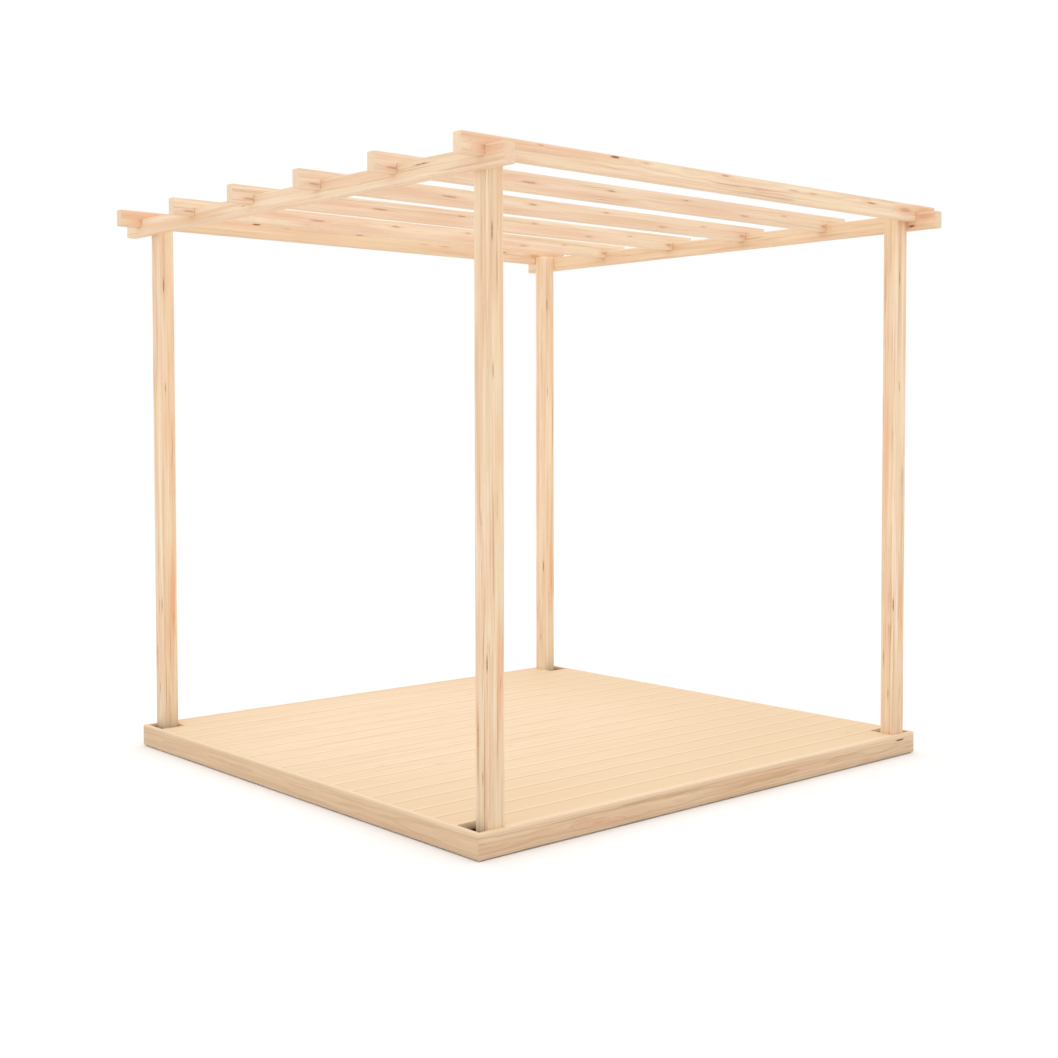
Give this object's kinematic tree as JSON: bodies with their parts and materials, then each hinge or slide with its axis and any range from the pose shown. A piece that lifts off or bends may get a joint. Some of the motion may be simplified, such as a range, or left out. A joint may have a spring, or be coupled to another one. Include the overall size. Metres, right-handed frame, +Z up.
{
  "type": "wooden pergola",
  "caption": "Open timber pergola: square posts rise through a low boarded deck and carry side beams with rafters notched over them, giving light shade over a seating area.",
  "frame": {"origin": "ground level under the middle of the deck", "axes": "+X along the rafters and deck boards, to the right in the front view; +Y along the beams, towards the back; +Z up"},
  "size_m": [2.566, 2.656, 2.36],
  "materials": {
    "post_pine": "planed, matt",
    "roof_pine": "planed, matt",
    "fascia_pine": "planed, matt",
    "deck_pine": "planed, matt",
    "joist_pine": "sawn, matt"
  },
  "bodies": {
    "root": {"post_front_left": "post_pine", "post_front_right": "post_pine", "post_back_left": "post_pine", "post_back_right": "post_pine", "beam_left": "roof_pine", "beam_right": "roof_pine", "rafter_1": "roof_pine", "rafter_2": "roof_pine", "rafter_3": "roof_pine", "rafter_4": "roof_pine", "rafter_5": "roof_pine", "rafter_6": "roof_pine", "fascia_front": "fascia_pine", "fascia_back": "fascia_pine", "fascia_left": "fascia_pine", "fascia_right": "fascia_pine", "deck_board_01": "deck_pine", "deck_board_02": "deck_pine", "deck_board_03": "deck_pine", "deck_board_04": "deck_pine", "deck_board_05": "deck_pine", "deck_board_06": "deck_pine", "deck_board_07": "deck_pine", "deck_board_08": "deck_pine", "deck_board_09": "deck_pine", "deck_board_10": "deck_pine", "deck_board_11": "deck_pine", "deck_board_12": "deck_pine", "deck_board_13": "deck_pine", "deck_board_14": "deck_pine", "deck_board_15": "deck_pine", "deck_board_16": "deck_pine", "deck_board_17": "deck_pine", "deck_board_18": "deck_pine", "deck_board_19": "deck_pine", "joist_1": "joist_pine", "joist_2": "joist_pine", "joist_3": "joist_pine", "joist_4": "joist_pine", "joist_5": "joist_pine"}
  },
  "joints": []
}
